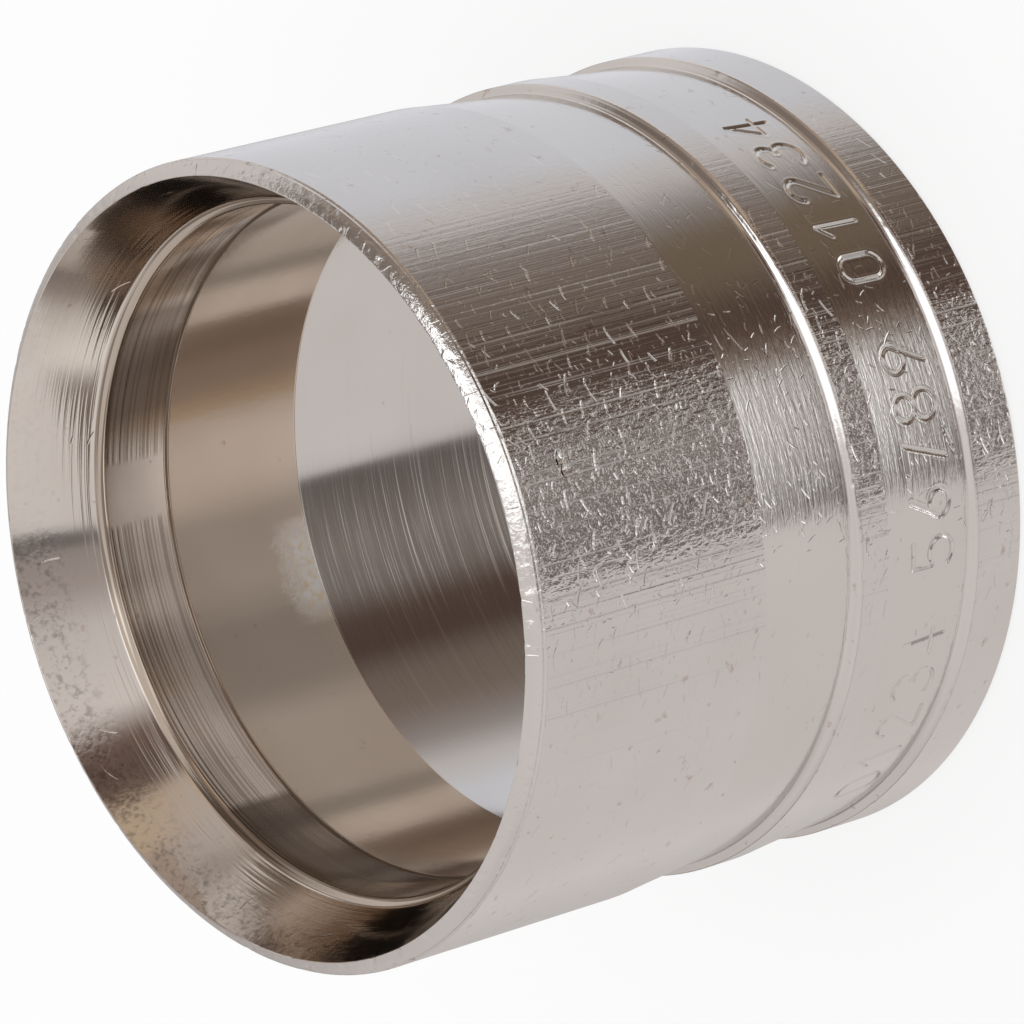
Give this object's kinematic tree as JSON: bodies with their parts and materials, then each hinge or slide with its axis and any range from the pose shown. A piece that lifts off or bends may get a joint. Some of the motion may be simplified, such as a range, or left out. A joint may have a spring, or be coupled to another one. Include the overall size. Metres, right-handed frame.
{
  "type": "pex press sleeve",
  "caption": "Turned metal press sleeve for plastic pipe, with a funnel mouth, a stepped bore and two ramped recesses round the outside.",
  "frame": {"origin": "centre of the rear end face, on the bore axis, where the sleeve stands", "axes": "+Z along the bore axis, from the rear end up to the funnel mouth"},
  "size_m": [0.025, 0.025, 0.0198],
  "materials": {
    "nickel_plated_brass": "bright nickel plate over drawn and turned brass"
  },
  "bodies": {
    "root": {"press_sleeve": "nickel_plated_brass"}
  },
  "joints": []
}
